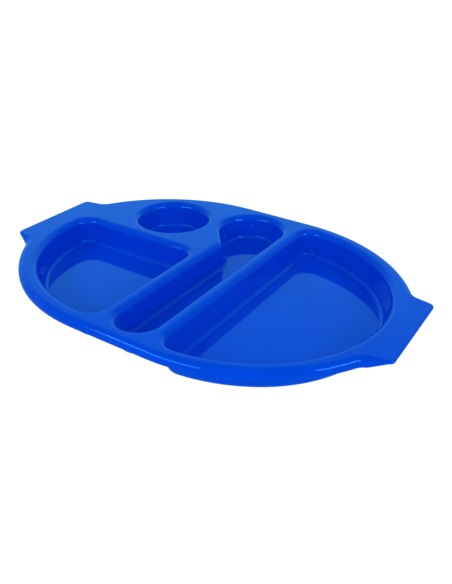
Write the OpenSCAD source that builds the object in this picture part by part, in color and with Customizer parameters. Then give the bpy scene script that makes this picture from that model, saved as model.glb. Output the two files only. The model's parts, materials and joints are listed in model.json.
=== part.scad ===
// Compartment meal tray: one thin-walled moulding with four wells, a rolled-down rim and a
// handle at each end. Millimetres. +X runs along the length, +Y from the front edge to the
// back edge, +Z up. The origin is on the table, under the middle of the tray.

/* [Tray] */
// Length over both handles
tray_l = 375; // [312:0.5:450]
// Width, front edge to back edge
tray_w = 264; // [220:0.5:317]
// Height, table to deck
tray_h = 27; // [22:0.5:33]
// Thickness of the moulding
wall = 2.5; // [1.8:0.1:3]

/* [Rim and handles] */
// How far the centres of the front and back arcs lie past the middle
arc_rise = 19.7; // [14:0.1:22]
// How far short of the handle ends the front and back arcs would stop
shoulder = 0.7; // [0:0.1:6]
// Radius of the rolled edge round the body
rim_roll = 5.8; // [4:0.1:7]
// How far the rolled edge hangs below the deck
rim_drop = 7.8; // [7:0.1:9]
// Rounding of the edge at the handle ends
edge_round = 1.5; // [0.6:0.1:1.8]
// Width of a handle at its end
handle_w = 91.5; // [76:0.5:108]
// Angle that a handle's side edges turn in by, towards its end
handle_taper = 24; // [16:1:28]
// Radius of the neck where a handle meets the body
neck_r = 14; // [10:0.5:18]
// Radius of a handle's corners
corner_r = 5; // [4:0.5:6]

/* [Wells] */
// Rim and deck between the edge of the tray and the big well
margin = 8.4; // [7:0.1:12]
// Rim and deck between the edge of the tray and the side well
side_margin = 9.8; // [7.5:0.1:12]
// Radius of the wells' ends beside the handles
end_r = 120; // [90:0.5:121]
// Deck between the channel and the well on each side of it
web = 1.6; // [1:0.1:4]
// Radius of the big well's two corners along the channel
main_corner_r = 19.6; // [15:0.1:24]
// Radius of the side well's front corner
side_front_r = 19.6; // [15:0.1:24]
// Radius of the side well's two back corners
side_back_r = 20.6; // [15:0.1:23]
// Diameter of the cup well
cup_d = 81.2; // [66:0.2:90]
// Rim and deck between the edge of the tray and the cup well
cup_margin = 11.2; // [8:0.1:13]
// Deck between the cup well and the channel's round end
cup_gap = 5.3; // [4:0.1:10]
// Deck between the cup well and the side well
cup_web = 3.5; // [2:0.1:6]

/* [Cutlery channel] */
// Width of the channel
channel_w = 48.2; // [38:0.2:54]
// Middle of the channel, to the right of the tray's middle
channel_x = 4.9; // [0:0.1:10]
// Diameter of the channel's round back end
head_d = 72.2; // [60:0.2:82]
// Rim and deck between the back edge of the tray and the round end
head_margin = 9.4; // [8:0.1:14]
// Slope of the side that leads from the round end into the channel
throat_angle = 37; // [30:1:45]
// Radius of the deck's corner beside that slope
throat_r = 6.4; // [4:0.1:10]

/* [Well walls] */
// Radius of the rounded lip from the deck into a well
lip_r = 6.5; // [4:0.1:7]
// Slope of the walls
draft = 6; // [2:0.5:8]
// Radius between the walls and the floor
floor_r = 3; // [1.5:0.1:4]

/* [Hidden] */
tray_colour = "#0b57d8";
chord_error = 0.08;        // how far a facet may lie inside the arc that it stands for
roll_steps = 4;            // facets across the rolled edge
under_steps = 2;           // facets across the inside of the rolled edge
lip_steps = 4;             // facets across a well's lip
floor_steps = 3;           // facets across a well's floor fillet
hem = 0.4;                 // how far a handle's edge hangs below the handle's underside
over = 1;                  // how far a cutting body runs past what it cuts

// ---- plane geometry -------------------------------------------------------------------------
// An outline is a list of arcs, counter-clockwise, that straight lines join. An arc is
// [centre, radius, first, last], where first and last are the directions that the outline
// faces there. A radius under zero is a hollow arc. Taking the same amount off every radius
// moves the whole outline in by just that much.
function heading(angle) = [cos(angle), sin(angle)];

function on_arc(arc, angle, inset = 0) = arc[0] + (arc[1] - inset) * heading(angle);

// Does an arc end where the next one begins, with no straight line between them?
function joins(arc, next) = norm(on_arc(arc, arc[3]) - on_arc(next, next[2])) < 0.01;

function arc_headings(arc, next) =
    let (sweep = arc[3] - arc[2],
         n = ceil(abs(sweep) / (2 * acos(1 - chord_error/abs(arc[1])))))
    [for (i = [0 : joins(arc, next) ? n - 1 : n]) arc[2] + sweep * i/n];

// The points of an outline, moved in to at[0] and up to at[1], one pair for each arc.
function ring(outline, at) =
    [for (i = [0 : len(outline) - 1])
        let (arc = outline[i], next = outline[(i + 1) % len(outline)])
        each [for (a = arc_headings(arc, next))
            let (p = on_arc(arc, a, at[i][0])) [p.x, p.y, at[i][1]]]];

function level_ring(outline, at) = ring(outline, [for (arc = outline) at]);

function mirrored_x(arcs) =
    [for (i = [len(arcs) - 1 : -1 : 0])
        let (c = arcs[i][0]) [[-c.x, c.y], arcs[i][1], 180 - arcs[i][3], 180 - arcs[i][2]]];

function mirrored_y(arcs) =
    [for (i = [len(arcs) - 1 : -1 : 0])
        let (c = arcs[i][0]) [[c.x, -c.y], arcs[i][1], -arcs[i][3], -arcs[i][2]]];

// The point left of the line from a to b that lies ra from a and rb from b.
function left_meeting(a, ra, b, rb) =
    let (d = norm(b - a),
         u = (b - a) / d,
         along = (ra*ra - rb*rb + d*d) / (2*d),
         across = sqrt(ra*ra - along*along))
    a + along*u + across*[-u.y, u.x];

// ---- where everything lies ------------------------------------------------------------------
arc_r = tray_w/2 + arc_rise;                        // the body's front and back arcs
arc_x = tray_l/2 - shoulder - arc_r;                // their centres, either side of the middle
back_arc_at = [arc_x, -arc_rise];
well_r = arc_r - margin;                            // the wells' outer arcs, on those centres
side_well_r = arc_r - side_margin;

// The arc at the end of a well whose outer arcs have radius r and run no further than the heading
// turn: its radius, its centre on the right and the heading where it meets the outer arc.
function end_radius(r, turn) = min(end_r, r - arc_rise/sin(turn));

function end_at(r, turn) = [arc_x + sqrt(max(0, pow(r - end_radius(r, turn), 2) - pow(arc_rise, 2))), 0];

function end_turn(r, turn) = min(turn, atan2(arc_rise, end_at(r, turn).x - arc_x));

channel_r = channel_w/2;
channel_left = channel_x - channel_r;
channel_right = channel_x + channel_r;
head_r = head_d/2;
head_at = [channel_right - head_r, tray_w/2 - head_margin - head_r];

cup_r = cup_d/2;
cup_at = left_meeting([-arc_x, -arc_rise], arc_r - cup_margin - cup_r,
                      head_at, cup_r + cup_gap + head_r);

main_left = channel_right + web;                    // the big well's edge along the channel
side_right = channel_left - web;                    // the side well's edge along the channel
side_back = cup_at.y - cup_r - cup_web;             // the side well's back edge

// The centre of a corner of radius r that lies x right of the middle and inside a well's back
// arc of radius outer, or inside the straight edge between two such arcs.
function back_corner(x, r, outer) =
    [x, x < arc_x ? outer - arc_rise - r
                  : sqrt(pow(outer - r, 2) - pow(x - arc_x, 2)) - arc_rise];

// Where the edge faces as it passes from the back arc into that corner
function corner_turn(at) = at.x < arc_x ? 90 : atan2(at.y + arc_rise, at.x - arc_x);

// ---- outlines -------------------------------------------------------------------------------
// A handle's side edge faces side_turn, and the neck's hollow arc runs from there to neck_turn.
side_turn = 90 - handle_taper;
side_offset = heading(side_turn) * [tray_l/2, handle_w/2];
neck_turn = side_turn - acos((side_offset + neck_r - heading(side_turn) * back_arc_at)
                             / (arc_r + neck_r));
corner_at = [tray_l/2 - corner_r,
             handle_w/2 - corner_r * (1 - cos(side_turn)) / sin(side_turn)];

function tray_outline() =
    let (corner = [corner_at, corner_r, 0, side_turn],
         neck = [back_arc_at + (arc_r + neck_r) * heading(neck_turn),
                 -neck_r, side_turn, neck_turn],
         body = [back_arc_at, arc_r, neck_turn, 90],
         right = [corner, neck, body],
         back = concat(right, mirrored_x(right)))
    concat(back, mirrored_y(back));

// How much of the full roll the edge has along each of those arcs: none at a handle's corners
tray_roll = [0, 1, 1, 1, 1, 0, 0, 1, 1, 1, 1, 0];

function main_outline() =
    let (corner = back_corner(main_left + main_corner_r, main_corner_r, well_r),
         turn = corner_turn(corner),
         meets = end_turn(well_r, turn),
         back = [[end_at(well_r, turn), end_radius(well_r, turn), 0, meets],
                 [back_arc_at, well_r, meets, turn],
                 [corner, main_corner_r, turn, 180]])
    concat(back, mirrored_y(back));

function side_outline() =
    let (front = back_corner(side_front_r - side_right, side_front_r, side_well_r),
         turn = corner_turn(front),
         centre = end_at(side_well_r, turn),
         r = end_radius(side_well_r, turn),
         left_y = side_back - side_back_r,
         left_x = centre.x + sqrt(pow(r - side_back_r, 2) - pow(left_y, 2)),
         left_turn = 180 - atan2(left_y, left_x - centre.x),
         end_meets = 180 + end_turn(side_well_r, turn))
    [[[side_right - side_back_r, left_y], side_back_r, 0, 90],
     [[-left_x, left_y], side_back_r, 90, left_turn],
     [-centre, r, left_turn, end_meets],
     [-back_arc_at, side_well_r, end_meets, 180 + turn],
     [-front, side_front_r, 180 + turn, 360]];

function cup_outline() = [[cup_at, cup_r, 0, 360]];

function channel_outline() =
    let (turn = 180 + throat_angle,
         slope = heading(turn) * head_at + head_r,
         throat_x = channel_left - throat_r,
         throat_y = (slope + throat_r - throat_x * cos(turn)) / sin(turn))
    [[[channel_x, channel_r + margin - tray_w/2], channel_r, 180, 360],
     [head_at, head_r, 0, turn],
     [[throat_x, throat_y], -throat_r, turn, 180]];

// ---- profiles: pairs of how far in from an outline and how far above the table ---------------
// The moulding's edge, from its underside round to the deck. roll is 1 for the full roll.
function edge_profile(roll) =
    let (r = edge_round + roll * (rim_roll - edge_round),
         room = max(r - wall, hem),
         drop = wall + hem + roll * (rim_drop - wall - hem))
    concat([for (i = [under_steps : -1 : 0])
                let (t = 90 * i/under_steps)
                [wall + room * (1 - cos(t)), tray_h - drop + (drop - wall) * sin(t)]],
           [[0, tray_h - drop]],
           [for (i = [roll_steps : -1 : 0])
                let (t = 90 * i/roll_steps)
                [r * (1 - sin(t)), tray_h - r * (1 - cos(t))]]);

lip_end = [lip_r * cos(draft), tray_h - lip_r * (1 - sin(draft))];
floor_start = wall + floor_r * (1 - sin(draft));
floor_in = lip_end[0] + (lip_end[1] - floor_start) * tan(draft) + floor_r * cos(draft);

// A floor fillet of radius r about the centre that the inside and the outside share
function floor_profile(r) =
    [for (i = [0 : floor_steps])
        let (t = (90 - draft) * i/floor_steps)
        [floor_in - r * sin(t), wall + floor_r - r * cos(t)]];

// The space in a well: the fillet, the wall, the lip, and straight up past the deck
space_profile =
    concat(floor_profile(floor_r),
           [for (i = [lip_steps : -1 : 0])
               let (t = (90 - draft) * i/lip_steps)
               [lip_r * sin(t), tray_h - lip_r * (1 - cos(t))]],
           [[0, tray_h + over]]);

// The outside of a well, up into the thickness of the deck
shell_top = tray_h - wall/2;
shell_profile =
    let (rounded = floor_profile(floor_r + wall),
         last = rounded[floor_steps])
    concat(rounded, [[last[0] - (shell_top - last[1]) * tan(draft), shell_top]]);

// ---- solids ---------------------------------------------------------------------------------
// Skins a stack of rings, lowest first, that all have the same number of points.
module loft(rings) {
    n = len(rings[0]);
    top = (len(rings) - 1) * n;
    caps = [[for (i = [0 : n - 1]) i], [for (i = [n - 1 : -1 : 0]) top + i]];
    bands = [for (low = [0 : n : top - n]) for (i = [0 : n - 1])
        let (a = low + i, b = low + (i + 1) % n)
        each [[a, a + n, b + n], [a, b + n, b]]];
    polyhedron(points = [for (r = rings) each r], faces = concat(caps, bands), convexity = 6);
}

module deck() {
    outline = tray_outline();
    profiles = [for (roll = tray_roll) edge_profile(roll)];
    loft([for (k = [0 : len(profiles[0]) - 1]) ring(outline, [for (p = profiles) p[k]])]);
}

module well_shell(outline) {
    loft([for (at = shell_profile) level_ring(outline, at)]);
}

module well_space(outline) {
    loft([for (at = space_profile) level_ring(outline, at)]);
}

// ---- the tray -------------------------------------------------------------------------------
module tray() {
    wells = [main_outline(), side_outline(), cup_outline(), channel_outline()];
    color(tray_colour)
        resize([tray_l, tray_w, tray_h])
            difference() {
                union() {
                    deck();
                    for (w = wells) well_shell(w);
                }
                for (w = wells) well_space(w);
            }
}

tray();
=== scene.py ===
# %% [markdown]
# # A compartment meal tray
# The tray is one thin plastic moulding: a deck with four wells sunk in it, an edge that rolls
# down all round, and a flat handle at each end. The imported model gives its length, width and
# height, and everything below is worked out from those and a few sizes of the moulding.

# %% The frame
import json
import math
from collections import namedtuple

import bmesh
import bpy
from mathutils import Matrix, Vector

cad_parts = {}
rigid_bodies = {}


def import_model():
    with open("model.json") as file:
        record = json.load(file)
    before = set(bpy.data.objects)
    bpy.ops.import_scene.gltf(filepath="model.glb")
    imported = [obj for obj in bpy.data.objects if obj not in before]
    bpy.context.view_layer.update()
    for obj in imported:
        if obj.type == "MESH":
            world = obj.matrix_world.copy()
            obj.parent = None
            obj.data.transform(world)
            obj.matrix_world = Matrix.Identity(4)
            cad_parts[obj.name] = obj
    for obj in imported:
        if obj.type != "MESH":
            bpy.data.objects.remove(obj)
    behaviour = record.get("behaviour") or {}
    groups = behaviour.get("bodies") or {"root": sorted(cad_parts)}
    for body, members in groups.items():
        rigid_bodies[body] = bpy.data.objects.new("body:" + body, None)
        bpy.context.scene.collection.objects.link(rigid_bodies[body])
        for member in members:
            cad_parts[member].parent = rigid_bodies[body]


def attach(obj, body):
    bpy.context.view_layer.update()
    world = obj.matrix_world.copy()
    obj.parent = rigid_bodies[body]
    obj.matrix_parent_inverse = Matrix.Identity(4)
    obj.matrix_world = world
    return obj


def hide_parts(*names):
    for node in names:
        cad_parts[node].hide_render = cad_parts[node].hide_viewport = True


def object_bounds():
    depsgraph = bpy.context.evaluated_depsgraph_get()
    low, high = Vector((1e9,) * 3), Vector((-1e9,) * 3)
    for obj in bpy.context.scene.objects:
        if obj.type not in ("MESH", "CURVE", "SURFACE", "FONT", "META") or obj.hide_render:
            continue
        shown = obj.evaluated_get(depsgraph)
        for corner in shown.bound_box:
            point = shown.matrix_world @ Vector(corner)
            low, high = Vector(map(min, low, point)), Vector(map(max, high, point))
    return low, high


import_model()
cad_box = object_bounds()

MM = 0.001
low, high = cad_box
length, width, height = ((high[i] - low[i]) / MM for i in range(3))
wall = 2.5
print(f"tray {length:.1f} x {width:.1f} x {height:.1f} mm, {wall} mm thick")

# %% [markdown]
# ## Outlines made of arcs
# Seen from above, the tray's edge and the rim of each well are arcs that run smoothly into each
# other or into straight lines. Such an outline could be traced with a Bezier curve, but then a
# parallel line inside it is only a guess. Written as arcs, it is exact: a parallel line keeps
# every centre and takes the same amount off every radius. Headings are degrees from +X, the way
# that the outline faces; a hollow arc has a radius under zero.

# %% Arcs
Arc = namedtuple("Arc", "centre radius first last")


def heading(angle):
    return Vector((math.cos(math.radians(angle)), math.sin(math.radians(angle))))


def on_arc(arc, angle, inset=0.0):
    return arc.centre + (arc.radius - inset) * heading(angle)


def mirrored_x(arcs):
    return [Arc(Vector((-a.centre.x, a.centre.y)), a.radius, 180 - a.last, 180 - a.first)
            for a in reversed(arcs)]


def mirrored_y(arcs):
    return [Arc(Vector((a.centre.x, -a.centre.y)), a.radius, -a.last, -a.first)
            for a in reversed(arcs)]


# %% [markdown]
# ## The tray's edge
# The body is nearly an oval: two wide arcs at the back and two at the front, whose centres lie
# a little past the middle. At each end a handle grows out of it: a hollow neck, a side that
# turns in towards the end, and a small round corner. One quarter is worked out here, and the
# other three are its mirror images.

# %% Edge outline
arc_rise = 19.7
shoulder = 0.7
arc_radius = width / 2 + arc_rise
arc_x = length / 2 - shoulder - arc_radius
back_arc = Vector((arc_x, -arc_rise))
handle_width = 91.5
handle_taper = 24.0
neck_radius = 14.0
handle_corner = 5.0


def edge_outline():
    turn = 90 - handle_taper
    side = heading(turn).dot(Vector((length / 2, handle_width / 2)))
    reach = side + neck_radius - heading(turn).dot(back_arc)
    neck_turn = turn - math.degrees(math.acos(reach / (arc_radius + neck_radius)))
    slack = handle_corner * (1 - math.cos(math.radians(turn))) / math.sin(math.radians(turn))
    corner = Vector((length / 2 - handle_corner, handle_width / 2 - slack))
    neck = back_arc + (arc_radius + neck_radius) * heading(neck_turn)
    right = [Arc(corner, handle_corner, 0, turn),
             Arc(neck, -neck_radius, turn, neck_turn),
             Arc(back_arc, arc_radius, neck_turn, 90)]
    back = right + mirrored_x(right)
    return back + mirrored_y(back)


print(f"edge: arcs of {arc_radius:.1f} mm about x = {arc_x:.1f} mm")

# %% [markdown]
# ## The wells' outlines
# The wells share the moulding: a big well at one end, a side well and a round cup well at the
# other, and a cutlery channel between them that opens into a round end for the fingers. Their
# outer arcs keep the centres of the tray's own edge, so the deck runs round them in an even
# band, and the narrow webs between them follow from the channel's place. The big well sits a
# little towards the front, and the channel is a little shallower than the wells.

# %% Well sizes
margin = 8.4
side_margin = 9.8
end_radius = 120.0
web = 1.6
cup_radius = 40.6
cup_margin = 11.2
cup_gap = 5.3
cup_web = 3.5
channel_radius = 24.1
channel_x = 4.9
head_radius = 36.1
head_margin = 9.4
throat_angle = 37.0
throat_radius = 6.4
main_corner = 19.6
side_front_corner = 19.6
side_back_corner = 20.6
main_shift = Vector((0.0, -0.8))
channel_lift = 1.5

well_radius = arc_radius - margin
side_well_radius = arc_radius - side_margin
head = Vector((channel_x + channel_radius - head_radius, width / 2 - head_margin - head_radius))


def left_meeting(a, reach_a, b, reach_b):
    """The point left of the line from a to b that lies reach_a from a and reach_b from b."""
    line = b - a
    along = (reach_a**2 - reach_b**2 + line.length_squared) / (2 * line.length)
    across = math.sqrt(reach_a**2 - along**2)
    unit = line.normalized()
    return a + along * unit + across * Vector((-unit.y, unit.x))


cup = left_meeting(Vector((-arc_x, -arc_rise)), arc_radius - cup_margin - cup_radius,
                   head, cup_radius + cup_gap + head_radius)
print(f"cup well about ({cup.x:.1f}, {cup.y:.1f}), round end about ({head.x:.1f}, {head.y:.1f})")


# %% Well outlines
def end_arc(outer):
    """Centre, radius and last heading of the arc at the end of a well with that outer radius."""
    radius = min(end_radius, outer - arc_rise)
    x = arc_x + math.sqrt(max(0.0, (outer - radius)**2 - arc_rise**2))
    return Vector((x, 0)), radius, math.degrees(math.atan2(arc_rise, x - arc_x))


def back_corner(x, radius, outer):
    """Centre of a corner that touches a well's outer arc, and the heading where it does."""
    if x < arc_x:
        return Vector((x, outer - arc_rise - radius)), 90.0
    y = math.sqrt((outer - radius)**2 - (x - arc_x)**2) - arc_rise
    return Vector((x, y)), math.degrees(math.atan2(y + arc_rise, x - arc_x))


def main_outline():
    end, radius, meets = end_arc(well_radius)
    x = channel_x + channel_radius + web + main_corner
    corner, turn = back_corner(x, main_corner, well_radius)
    back = [Arc(end, radius, 0, meets),
            Arc(back_arc, well_radius, meets, turn),
            Arc(corner, main_corner, turn, 180)]
    return [arc._replace(centre=arc.centre + main_shift) for arc in back + mirrored_y(back)]


def side_outline():
    end, radius, meets = end_arc(side_well_radius)
    right = channel_x - channel_radius - web
    front, turn = back_corner(side_front_corner - right, side_front_corner, side_well_radius)
    r = side_back_corner
    y = cup.y - cup_radius - cup_web - r
    x = end.x + math.sqrt((radius - r)**2 - y**2)
    left_turn = 180 - math.degrees(math.atan2(y, x - end.x))
    return [Arc(Vector((right - r, y)), r, 0, 90),
            Arc(Vector((-x, y)), r, 90, left_turn),
            Arc(-end, radius, left_turn, 180 + meets),
            Arc(-back_arc, side_well_radius, 180 + meets, 180 + turn),
            Arc(-front, side_front_corner, 180 + turn, 360)]


def cup_outline():
    return [Arc(cup, cup_radius, 0, 360)]


def channel_outline():
    turn = 180 + throat_angle
    slope = heading(turn).dot(head) + head_radius
    x = channel_x - channel_radius - throat_radius
    y = (slope + throat_radius - x * heading(turn).x) / heading(turn).y
    front = Vector((channel_x, channel_radius + margin - width / 2))
    return [Arc(front, channel_radius, 180, 360),
            Arc(head, head_radius, 0, turn),
            Arc(Vector((x, y)), -throat_radius, turn, 180)]


wells = {"main": main_outline(), "side": side_outline(),
         "cup": cup_outline(), "channel": channel_outline()}
print("arcs in each outline:", {name: len(arcs) for name, arcs in wells.items()})

# %% [markdown]
# ## Cross-sections
# Cut across its edge, the moulding shows a section that stays the same along an outline. A well
# has a soft lip, a wall that leans out a little so that the tray comes off its mould, and a
# fillet into the floor. The underside runs one thickness below it about the same centres, so
# the plastic is equally thick everywhere. A section is a list of (inset, height) points.

# %% Well section
lip_radius = 6.5
draft = 8.0
fillet_radius = 4.0
hold = 0.3
lip_steps = 12
fillet_steps = 6


def curve(centre, radius, first, last, steps):
    """Points of a section's arc; 0 degrees is inwards and 90 is up."""
    angles = (first + (last - first) * i / steps for i in range(steps + 1))
    return [Vector(centre) + radius * heading(a) for a in angles]


def well_section(depth, lift):
    """The section of a well's skin, depth under the surface that shows; lift raises the floor."""
    lean = math.radians(draft)
    floor = wall + lift
    drop = height - floor - (lip_radius + fillet_radius) * (1 - math.sin(lean))
    inset = (lip_radius + fillet_radius) * math.cos(lean) + drop * math.tan(lean)
    lip = curve((0, height - lip_radius), lip_radius - depth, 90, draft, lip_steps)
    fillet = curve((inset, floor + fillet_radius), fillet_radius + depth,
                   180 + draft, 270, fillet_steps)
    return [lip[0] - Vector((hold, 0))] + lip + fillet + [fillet[-1] + Vector((hold, 0))]


print(f"the flat floors start {well_section(0, 0)[-2].x:.1f} mm in from the wells' rims")

# %% [markdown]
# The outer edge rolls down round the body and stiffens it. Along the sides of the handles the
# roll dies away, until at the handles' corners only a small round is left. So its section
# depends on a share: 1 for the full roll, 0 for none.

# %% Edge section
rim_roll = 5.8
rim_drop = 7.8
edge_round = 1.5
hem = 0.4
hem_round = 0.6
roll_steps = 10
hem_steps = 3


def edge_section(share):
    roll = edge_round + share * (rim_roll - edge_round)
    drop = wall + hem + share * (rim_drop - wall - hem)
    inner = max(roll - wall, hem)
    foot = height - drop + hem_round
    top = curve((roll, height - roll), roll, 90, 180, roll_steps)
    outer_hem = curve((hem_round, foot), hem_round, 180, 270, hem_steps)
    inner_hem = curve((wall - hem_round, foot), hem_round, 270, 360, hem_steps)
    under = curve((wall + inner, height - wall - inner), inner, 180, 90, roll_steps)
    if inner_hem[-1].y > under[0].y:
        inner_hem[-1].y = under[0].y
    return [top[0] + Vector((hold, 0))] + top + outer_hem + inner_hem + under


print(f"edge section: {len(edge_section(1))} points")

# %% [markdown]
# ## Sweeping a section along an outline
# By hand this is: draw the section as a chain of vertices, spin the chain about an arc's centre,
# extrude it straight to the next arc, and so on round. The mesh follows the arcs exactly, and
# both ends meet where it began. A single vertex to start from is a plane merged to its centre.

# %% Spin and extrude
chord_error = 0.01
same_place = 0.01
merge_distance = 0.002


def edit_mesh():
    return bmesh.from_edit_mesh(bpy.context.edit_object.data)


def places(arc, angle, section):
    """Where the points of a section lie at one heading of an arc, in metres."""
    flat = [(on_arc(arc, angle, p.x), p.y) for p in section]
    return [Vector((xy.x, xy.y, z)) * MM for xy, z in flat]


def draw_chain(points):
    bpy.ops.mesh.select_all(action="DESELECT")
    bpy.ops.mesh.primitive_plane_add(size=MM, location=points[0])
    bpy.ops.mesh.merge(type="CENTER")
    for a, b in zip(points, points[1:]):
        bpy.ops.mesh.extrude_vertices_move(TRANSFORM_OT_translate={"value": b - a})
    bpy.ops.mesh.select_linked()


def extrude_chain(before, after):
    """Extrudes the selected chain and moves each of its points from before to after."""
    bpy.ops.mesh.extrude_region_move(TRANSFORM_OT_translate={"value": after[0] - before[0]})
    moved = [p + after[0] - before[0] for p in before]
    for v in edit_mesh().verts:
        if v.select:
            nearest = min(range(len(moved)), key=lambda i: (moved[i] - v.co).length_squared)
            v.co = after[nearest]


def sweep(outline, sections):
    draw_chain(places(outline[0], outline[0].first, sections[0]))
    for i, arc in enumerate(outline):
        turn = math.radians(arc.last - arc.first)
        step = 2 * math.acos(1 - chord_error / abs(arc.radius))
        bpy.ops.mesh.spin(steps=math.ceil(abs(turn) / step), angle=-turn, use_auto_merge=False,
                          center=(arc.centre.x * MM, arc.centre.y * MM, 0), axis=(0, 0, 1))
        following = (i + 1) % len(outline)
        here = places(arc, arc.last, sections[i])
        there = places(outline[following], outline[following].first, sections[following])
        if max((a - b).length for a, b in zip(here, there)) > same_place * MM:
            extrude_chain(here, there)
    bpy.ops.mesh.select_linked()
    bpy.ops.mesh.remove_doubles(threshold=merge_distance * MM)


# %% [markdown]
# ## Sweeping the tray
# Everything is drawn in one mesh: the rolled edge, then each well twice, once for the face that
# shows and once for its underside. Each well's floor is closed with a single face.

# %% Edge and wells
bpy.ops.object.select_all(action="DESELECT")
bpy.ops.mesh.primitive_plane_add(size=MM)
tray = bpy.context.object
tray.name = "tray_moulding"
bpy.ops.object.mode_set(mode="EDIT")
bpy.ops.mesh.select_mode(type="VERT")
bpy.ops.mesh.delete(type="VERT")


same_height = 0.001


def select_open_edges(z):
    """Selects the edges at that height, in millimetres, that have a face on one side only."""
    bpy.ops.mesh.select_mode(type="EDGE")
    bpy.ops.mesh.select_all(action="DESELECT")
    mesh = edit_mesh()
    for e in mesh.edges:
        level = all(abs(v.co.z - z * MM) < same_height * MM for v in e.verts)
        e.select_set(e.is_boundary and level)
    bmesh.update_edit_mesh(bpy.context.edit_object.data)


edge = edge_outline()
shares = [0, 1, 1, 1, 1, 0, 0, 1, 1, 1, 1, 0]
sweep(edge, [edge_section(share) for share in shares])
for name, outline in wells.items():
    lift = channel_lift if name == "channel" else 0.0
    for depth in (0, wall):
        bpy.ops.mesh.select_mode(type="VERT")
        sweep(outline, [well_section(depth, lift)] * len(outline))
        select_open_edges(wall + lift - depth)
        bpy.ops.mesh.edge_face_add()
print(f"{len(edit_mesh().verts)} vertices, {len(edit_mesh().faces)} faces after the sweeps")

# %% [markdown]
# ## The deck
# What is left open is the flat deck, with the wells as holes in it, and its underside. Fill
# lays triangles between all the open loops at one height. Then the faces are all turned to
# point out of the plastic.

# %% Deck
for z in (height, height - wall):
    select_open_edges(z)
    bpy.ops.mesh.fill(use_beauty=True)
open_edges = sum(not e.is_manifold for e in edit_mesh().edges)
bpy.ops.mesh.select_all(action="SELECT")
bpy.ops.mesh.normals_make_consistent(inside=False)
bpy.ops.object.mode_set(mode="OBJECT")
print(f"{len(tray.data.polygons)} faces, {open_edges} edges left open")

# %% [markdown]
# ## Smooth shading
# A moulding has no creases, so every face is shaded smooth. Weighted normals keep the deck, the
# walls and the floors flat in the light, although narrow curved faces touch them.

# %% Shading
bpy.ops.object.shade_smooth()
weighted = tray.modifiers.new("flat faces stay flat", "WEIGHTED_NORMAL")
weighted.mode = "FACE_AREA"
weighted.weight = 80
bpy.ops.object.modifier_apply(modifier=weighted.name)

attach(tray, "root")
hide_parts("tray")
print("size in mm:", [round(d / MM, 2) for d in tray.dimensions])

# %% [markdown]
# ## Moulded polycarbonate
# Catering trays are moulded from polycarbonate with the colour all through it. It comes off a
# polished steel mould with a hard gloss, so the eye sees a deep, clean blue under reflections
# that grow stronger towards the far side. Close to, the gloss isn't perfect: the plastic
# shrinks a little as it sets, which leaves a fine ripple, and handling dulls it in faint patches.

# %% Node helper
def linear(hex_colour):
    """An sRGB hex colour as linear red, green, blue and alpha."""
    values = (int(hex_colour[i:i + 2], 16) / 255 for i in (1, 3, 5))
    return [v / 12.92 if v <= 0.04045 else ((v + 0.055) / 1.055)**2.4 for v in values] + [1]


def add_node(tree, kind, settings=None, inputs=None, links=None):
    """Adds a node, sets its properties and input values, and links its inputs to sockets."""
    node = tree.nodes.new(kind)
    for name, value in (settings or {}).items():
        setattr(node, name, value)
    for name, value in (inputs or {}).items():
        node.inputs[name].default_value = value
    for name, socket in (links or {}).items():
        tree.links.new(socket, node.inputs[name])
    return node


# %% Polycarbonate
def moulded_polycarbonate():
    material = bpy.data.materials.new("moulded_polycarbonate")
    material.use_nodes = True
    tree = material.node_tree
    tree.nodes.clear()
    spot = add_node(tree, "ShaderNodeTexCoord").outputs["Object"]
    flow = add_node(tree, "ShaderNodeTexNoise", inputs={"Scale": 1 / 0.045, "Detail": 2.0},
                    links={"Vector": spot})
    colour = add_node(tree, "ShaderNodeValToRGB", links={"Fac": flow.outputs["Fac"]})
    colour.color_ramp.elements[0].position = 0.3
    colour.color_ramp.elements[0].color = linear("#0042d6")
    colour.color_ramp.elements[1].position = 0.7
    colour.color_ramp.elements[1].color = linear("#0048de")
    handling = add_node(tree, "ShaderNodeTexNoise", inputs={"Scale": 1 / 0.02, "Detail": 4.0},
                        links={"Vector": spot})
    gloss = add_node(tree, "ShaderNodeMapRange", inputs={"To Min": 0.04, "To Max": 0.07},
                     links={"Value": handling.outputs["Fac"]})
    ripple = add_node(tree, "ShaderNodeTexNoise", inputs={"Scale": 1 / 0.0035, "Detail": 1.0},
                      links={"Vector": spot})
    skin = add_node(tree, "ShaderNodeBump", inputs={"Strength": 0.15, "Distance": 0.00002},
                    links={"Height": ripple.outputs["Fac"]})
    plastic = add_node(tree, "ShaderNodeBsdfPrincipled",
                       inputs={"IOR": 1.585, "Specular Tint": linear("#38bcff")},
                       links={"Base Color": colour.outputs["Color"],
                              "Roughness": gloss.outputs["Result"],
                              "Normal": skin.outputs["Normal"]})
    add_node(tree, "ShaderNodeOutputMaterial", links={"Surface": plastic.outputs["BSDF"]})
    return material


tray.data.materials.clear()
tray.data.materials.append(moulded_polycarbonate())
print("material:", tray.data.materials[0].name)

# %% [markdown]
# ## Floor, light and camera
# The tray stands on a white light table, which leaves no shadow round it. The table is kept out
# of the gloss, so that the rolled edge stays blue, and the camera sees a white backdrop where the
# table ends. Two soft boxes stand on either side of the camera, a wide one on the left and a
# narrower one on the right, for the highlights in the rounded lips and corners. What a glossy
# tray mirrors matters most: its deck and floors mirror a bright wall behind it, and the walls of
# its wells mirror the darker rest of the room. The room is tinted cyan, which keeps red out of
# the blue; only reflections show the tint.

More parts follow.
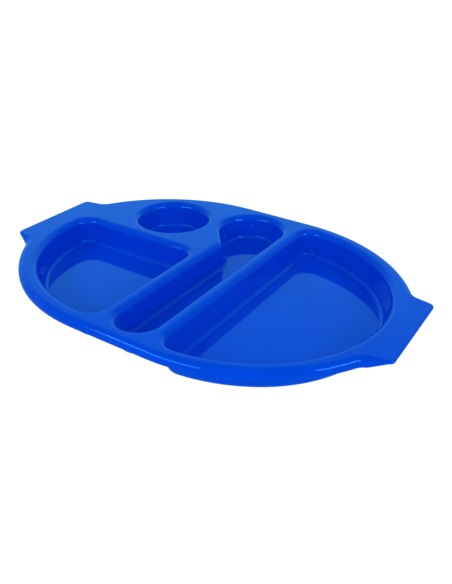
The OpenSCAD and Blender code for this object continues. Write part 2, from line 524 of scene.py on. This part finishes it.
# %% Floor
table_size = 80
bpy.ops.mesh.primitive_plane_add(size=table_size)
floor = bpy.context.object
floor.name = "light_table"
acrylic = bpy.data.materials.new("lit_opal_acrylic")
acrylic.use_nodes = True
opal = acrylic.node_tree.nodes["Principled BSDF"].inputs
opal["Base Color"].default_value = linear("#4c4c4c")
opal["Emission Color"].default_value = linear("#ffffff")
opal["Emission Strength"].default_value = 1.0
floor.data.materials.append(acrylic)
floor.visible_glossy = False


# %% Light
camera_azimuth = 32.21


def towards(azimuth, elevation):
    """Unit vector from the tray: azimuth is degrees round from the front towards the right."""
    a, e = math.radians(azimuth), math.radians(elevation)
    return Vector((math.sin(a) * math.cos(e), -math.cos(a) * math.cos(e), math.sin(e)))


def soft_box(name, azimuth, elevation, wide, tall, brightness, distance=1.3):
    light = bpy.data.lights.new(name, "AREA")
    light.shape = "RECTANGLE"
    light.size = wide
    light.size_y = tall
    light.energy = brightness * math.pi * wide * tall
    box = bpy.data.objects.new(name, light)
    way = towards(azimuth, elevation)
    box.location = way * distance
    box.rotation_euler = way.to_track_quat("Z", "Y").to_euler()
    bpy.context.scene.collection.objects.link(box)


soft_box("left_soft_box", azimuth=-18, elevation=30, wide=0.9, tall=0.3, brightness=5.5)
soft_box("right_soft_box", azimuth=85, elevation=30, wide=0.6, tall=0.3, brightness=6.5)
room = bpy.data.worlds.new("pale_room")
room.use_nodes = True
walls = room.node_tree
way = add_node(walls, "ShaderNodeTexCoord").outputs["Generated"]
rise = add_node(walls, "ShaderNodeSeparateXYZ", links={"Vector": way}).outputs["Z"]
behind = add_node(walls, "ShaderNodeVectorMath", {"operation": "DOT_PRODUCT"}, links={0: way})
behind.inputs[1].default_value = towards(camera_azimuth + 180, 0)
back_wall = add_node(walls, "ShaderNodeMapRange",
                     inputs={"From Min": 0.45, "From Max": 0.85, "To Min": 0.6, "To Max": 1.0},
                     links={"Value": behind.outputs["Value"]})
skirting = add_node(walls, "ShaderNodeMapRange",
                    inputs={"From Min": 0.0, "From Max": 0.25, "To Min": 0.7, "To Max": 1.0},
                    links={"Value": rise})
glow = add_node(walls, "ShaderNodeMath", {"operation": "MULTIPLY"},
                links={0: back_wall.outputs["Result"], 1: skirting.outputs["Result"]})
walls.nodes["Background"].inputs["Color"].default_value = linear("#74e4ff")
walls.links.new(glow.outputs["Value"], walls.nodes["Background"].inputs["Strength"])
backdrop = add_node(walls, "ShaderNodeBackground", inputs={"Color": (1, 1, 1, 1)})
seen = add_node(walls, "ShaderNodeLightPath").outputs["Is Camera Ray"]
shown = add_node(walls, "ShaderNodeMixShader",
                 links={0: seen, 1: walls.nodes["Background"].outputs["Background"],
                        2: backdrop.outputs["Background"]})
walls.links.new(shown.outputs["Shader"], walls.nodes["World Output"].inputs["Surface"])
bpy.context.scene.world = room
bpy.context.scene.view_settings.view_transform = "Standard"

# %% Camera
aim = Vector((39.33, -31.11, height)) * MM
camera_distance = 527.4
camera_tilt = 1.15
away = towards(camera_azimuth, 30.26)
camera_data = bpy.data.cameras.new("camera")
camera_data.lens = 39.93
camera_data.sensor_width = 36
camera_data.clip_start = 0.01
camera = bpy.data.objects.new("camera", camera_data)
level = away.to_track_quat("Z", "Y").to_matrix().to_4x4()
tilt = Matrix.Rotation(math.radians(camera_tilt), 4, "Z")
camera.matrix_world = Matrix.Translation(aim + away * camera_distance * MM) @ level @ tilt
bpy.context.scene.collection.objects.link(camera)
bpy.context.scene.camera = camera
print(f"camera {camera_distance:.0f} mm from the tray, {camera_data.lens} mm lens")
